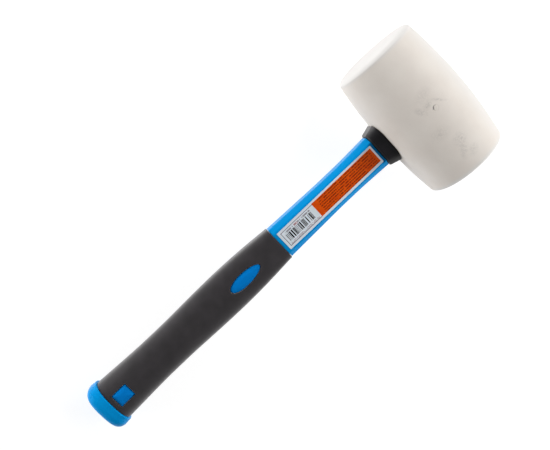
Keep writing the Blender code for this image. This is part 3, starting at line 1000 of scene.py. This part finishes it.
def blue_look():
    look = Look("blue_plastic", Specular_IOR_Level=0.09, Specular_Tint=(0.0, 0.6, 1.0))
    cloud = look.noise(0.015, 3, stretch=(0.4, 1, 1))
    base = look.ramp(cloud, (0.3, (0.002, 0.280, 0.69)), (0.7, (0.002, 0.312, 0.755)))
    x, y = look.millimetres()
    # Painted shade: a darker blue along the pads' stretch of the handle
    pads_shade = look.all(look.fade(x, *PADS_SHADE_FRONT_X), look.fade(x, *PADS_SHADE_REAR_X))
    base = look.mix(pads_shade, base, (0.002, 0.215, 0.665))
    # Painted shadow of the collar: dark navy on the jacket's flat next to it
    collar_shadow = look.all(look.fade(x, *COLLAR_SHADOW_X), look.fade(look.math("ABSOLUTE", y), *COLLAR_SHADOW_Y))
    look.colour(look.mix(look.math("MULTIPLY", collar_shadow, 0.7), base, (0.004, 0.030, 0.090)))
    look.roughness(0.2, 0.32, look.noise(0.004, 3))
    look.bump((look.noise(0.0008, 2), 0.12, 0.00005))
    return look.material


def grip_look():
    look = Look("charcoal_elastomer", Specular_IOR_Level=0.2, Sheen_Weight=0.7, Sheen_Roughness=0.45)
    cloud = look.noise(0.008, 4)
    look.colour(look.ramp(cloud, (0.3, (0.023, 0.0198, 0.022)), (0.7, (0.034, 0.0295, 0.033))))
    look.roughness(0.6, 0.75, look.noise(0.002, 3))
    look.bump((look.noise(0.0004, 2, 0.6), 0.5, 0.00008))
    return look.material


# Print on the label, in millimetres of the tool's frame
PANEL_X = (-95.5, -43.2)
PANEL_Y = (-5.36, 5.67)
FRAME_X = (-123.3, -95.5)
FRAME_Y = (-5.4, 5.3)
FRAME_LINE = 0.36  # thickness of the frame's line
STAMP_X = (-113.0, -110.0)
STAMP_Y = (2.7, 4.2)
BARS_Y = (-2.8, 2.5)
LABEL_SHADE_X = (-66.0, -44.0)  # painted shade: the label darkens towards the head
INK_SPREAD = 1.4  # how much wider a bar prints than it is drawn
# Centre and width of each bar, the centre measured back along the handle
BARS = (
    (99.4, 0.25), (100.0, 0.25), (100.8, 0.65), (102.1, 0.25), (104.0, 0.5), (105.7, 0.3),
    (106.4, 0.3), (107.0, 0.3), (107.7, 0.3), (109.1, 0.65), (110.2, 0.3), (110.8, 0.3),
    (111.9, 0.2), (112.8, 0.2), (113.5, 0.2), (114.3, 0.55), (115.1, 0.3), (116.4, 0.65),
    (118.1, 0.7), (119.2, 0.25), (120.1, 0.2), (121.0, 0.3),
)


DASHES_LEFT_OUT = 0.28  # share of the dashes that are blank
WORD_LENGTH = 6.5  # in dashes
WORD_SHIFT = 3.7  # in words, from each row to the next
OTHER_NUMBERS = 40.0  # row offset that gives the words random numbers of their own


def dashes(look, x, y, top, pitch, weight, run, gaps, ends):
    """Rows of short dashes with gaps like those between words, in no script and saying nothing.

    Top is the first row's upper edge, pitch the rows' spacing, weight a dash's share of it, run a dash's
    length, gaps the share of the words left blank, and ends the rows' two ends.
    """
    row = look.math("DIVIDE", look.math("SUBTRACT", top, y), pitch)
    line = look.math("COMPARE", look.math("FRACT", row), 0.5, weight / 2)
    number = look.math("FLOOR", row)
    marks = look.math("GREATER_THAN", look.scatter(look.math("DIVIDE", x, run), row), DASHES_LEFT_OUT)
    shift = look.math("MULTIPLY", number, WORD_SHIFT)
    word = look.math("ADD", look.math("DIVIDE", x, run * WORD_LENGTH), shift)
    words = look.math("GREATER_THAN", look.scatter(word, look.math("ADD", row, OTHER_NUMBERS)), gaps)
    return look.all(line, marks, words, look.inside(x, *ends))


def bar_masks(look, x):
    """The bars as two ramps with hard steps, because one ramp can't hold the steps of them all."""
    masks = []
    middle = len(BARS) // 2
    for half in (BARS[:middle], BARS[middle:]):
        low, high = half[0][0] - 1, half[-1][0] + 1
        stops = [(0.0, 0.0)]
        for centre, width in half:
            width *= INK_SPREAD
            for edge, value in ((centre - width / 2, 1.0), (centre + width / 2, 0.0)):
                stops.append(((edge - low) / (high - low), value))
        along = look.math("DIVIDE", look.math("SUBTRACT", look.math("MULTIPLY", x, -1.0), low), high - low)
        masks.append(look.all(look.ramp(along, *stops, steps=True), look.inside(along, 0.0, 0.999)))
    return look.any(*masks)


def paper_look():
    look = Look("label_print", Roughness=0.42, Specular_IOR_Level=0.15)
    x, y = look.millimetres()
    paper = look.ramp(look.noise(0.003, 3), (0.3, (0.72, 0.785, 0.85)), (0.7, (0.78, 0.83, 0.89)))
    orange = look.ramp(look.noise(0.004, 3), (0.3, (0.68, 0.065, 0.001)), (0.7, (0.775, 0.097, 0.002)))
    text = dashes(look, x, y, top=5.4, pitch=1.59, weight=0.44, run=0.32, gaps=0.05, ends=(-91.5, -45.0))
    orange = look.mix(look.math("MULTIPLY", text, 0.78), orange, (0.05, 0.004, 0.001))
    colour = look.mix(look.all(look.inside(x, *PANEL_X), look.inside(y, *PANEL_Y)), paper, orange)
    box = look.all(look.inside(x, *FRAME_X), look.inside(y, *FRAME_Y))
    hollow = look.all(
        look.inside(x, FRAME_X[0] + FRAME_LINE, FRAME_X[1] + 1),
        look.inside(y, FRAME_Y[0] + FRAME_LINE, FRAME_Y[1] - FRAME_LINE),
    )
    colour = look.mix(look.math("SUBTRACT", box, hollow), colour, (0.11, 0.095, 0.13))
    small = dashes(look, x, y, top=4.3, pitch=1.5, weight=0.7, run=0.5, gaps=0.25, ends=(-121.5, -99.0))
    small = look.all(small, look.inside(y, 2.85, 4.25))
    colour = look.mix(look.math("MULTIPLY", small, 0.7), colour, (0.12, 0.10, 0.12))
    stamp = look.all(look.inside(x, *STAMP_X), look.inside(y, *STAMP_Y), look.noise(0.0012, 1))
    colour = look.mix(stamp, colour, (0.55, 0.10, 0.10))
    foot = dashes(look, x, y, top=-3.55, pitch=0.75, weight=0.55, run=0.45, gaps=0.12, ends=(-122.0, -96.8))
    foot = look.all(foot, look.inside(y, -5.0, -3.55))
    colour = look.mix(look.math("MULTIPLY", foot, 0.7), colour, (0.26, 0.13, 0.17))
    bars = look.all(bar_masks(look, x), look.inside(y, *BARS_Y))
    colour = look.mix(bars, colour, (0.008, 0.007, 0.009))
    # Painted shade, darkening the label towards the head
    look.colour(look.mix(look.fade(x, *LABEL_SHADE_X, 0.0, 0.32), colour, (0.0, 0.0, 0.0)))
    look.roughness(0.38, 0.5, look.noise(0.002, 3))
    return look.material


def glass_look():
    look = Look("glass_fibre", Roughness=0.45)
    grain = look.noise(0.0006, 3, stretch=(0.05, 1, 1))
    look.colour(look.ramp(grain, (0.35, (0.52, 0.47, 0.29)), (0.65, (0.66, 0.62, 0.42))))
    look.roughness(0.38, 0.55, grain)
    look.bump((grain, 0.3, 0.0001))
    return look.material


def resin_look():
    look = Look("epoxy_resin", Roughness=0.3)
    look.colour(look.ramp(look.noise(0.003, 3), (0.3, (0.26, 0.20, 0.09)), (0.7, (0.34, 0.27, 0.14))))
    look.roughness(0.25, 0.4, look.noise(0.002, 2))
    return look.material


# ---------------------------------------------------------------- stage


FLOOR_REACH = 6.0
FLOOR_GREY = 0.30
FLOOR_GLOW = 0.85  # keeps the ground white, as in the photo


def make_floor():
    mesh = bpy.data.meshes.new("floor")
    corners = [(x * FLOOR_REACH, y * FLOOR_REACH, 0) for x, y in ((-1, -1), (1, -1), (1, 1), (-1, 1))]
    mesh.from_pydata(corners, [], [(0, 1, 2, 3)])
    floor = thing("floor", mesh)
    look = Look("pale_floor", Roughness=0.8)
    look.colour((FLOOR_GREY, FLOOR_GREY, FLOOR_GREY))
    look.shader.inputs["Emission Color"].default_value = (1, 1, 1, 1)
    look.shader.inputs["Emission Strength"].default_value = FLOOR_GLOW
    mesh.materials.append(look.material)


# Softboxes: name, degrees round from +X, degrees up, watts
LIGHTS = (
    ("left_back_low", 135, 12, 7.3),
    ("right_high", 315, 35, 5.7),
    ("past_the_head", 0, 35, 4.7),
    ("left_high", 45, 35, 2.2),
    ("left_end_low", 90, 12, 1.8),
    ("right_end_low", 270, 12, 1.2),
    ("behind_the_butt", 180, 12, 0.8),
)
LIGHT_AIM = Vector((0.03, 0, 0.02))
LIGHT_DISTANCE = 1.1
LIGHT_SIZE = 0.6


def make_light(name, around, above, watts):
    data = bpy.data.lights.new(name, "AREA")
    data.shape = "SQUARE"
    data.size = LIGHT_SIZE
    data.energy = watts
    light = bpy.data.objects.new(name, data)
    around, above = math.radians(around), math.radians(above)
    flat = math.cos(above)
    back = Vector((flat * math.cos(around), flat * math.sin(around), math.sin(above)))
    light.location = LIGHT_AIM + back * LIGHT_DISTANCE
    light.rotation_euler = (-back).to_track_quat("-Z", "Y").to_euler()
    bpy.context.scene.collection.objects.link(light)


HORIZON_GLOW = (0.2, 0.3)  # heights of the view direction between which the walls' glow fades
GLOW_STRENGTH = 0.52


def make_world():
    """Pale walls round the stage, up to a little above the horizon."""
    world = bpy.data.worlds.new("studio")
    bpy.context.scene.world = world
    world.use_nodes = True
    nodes, links = world.node_tree.nodes, world.node_tree.links
    split = nodes.new("ShaderNodeSeparateXYZ")
    links.new(nodes.new("ShaderNodeTexCoord").outputs["Generated"], split.inputs[0])
    ramp = nodes.new("ShaderNodeValToRGB")
    low, high = ramp.color_ramp.elements
    low.position, low.color = HORIZON_GLOW[0], (1, 1, 1, 1)
    high.position, high.color = HORIZON_GLOW[1], (0, 0, 0, 1)
    links.new(split.outputs["Z"], ramp.inputs[0])
    links.new(ramp.outputs[0], nodes["Background"].inputs["Color"])
    nodes["Background"].inputs["Strength"].default_value = GLOW_STRENGTH


def make_camera():
    data = bpy.data.cameras.new("camera")
    data.sensor_width = SENSOR
    data.lens = LENS
    data.clip_start = 0.01
    camera = bpy.data.objects.new("camera", data)
    turn = Euler([math.radians(a) for a in CAMERA_TURN]).to_matrix().to_4x4()
    camera.matrix_world = TOOL @ Matrix.Translation(CAMERA_PLACE) @ turn
    bpy.context.scene.collection.objects.link(camera)
    bpy.context.scene.camera = camera


def paint(node, look):
    """Gives a CAD node that keeps its own shape its procedural material."""
    mesh = frame["nodes"][node].data
    mesh.materials.clear()
    mesh.materials.append(look)


def main():
    make_camera()
    make_floor()
    make_world()
    for name, around, above, watts in LIGHTS:
        make_light(name, around, above, watts)
    bpy.context.scene.view_settings.view_transform = "Standard"
    black, blue = black_look(), blue_look()
    make_head(rubber_look())
    make_plug(black)
    make_collar(black)
    make_jacket(blue)
    make_grip(grip_look())
    make_cap(blue)
    make_label(paper_look())
    paint("fibreglass_core", glass_look())
    paint("eye_adhesive", resin_look())


main()
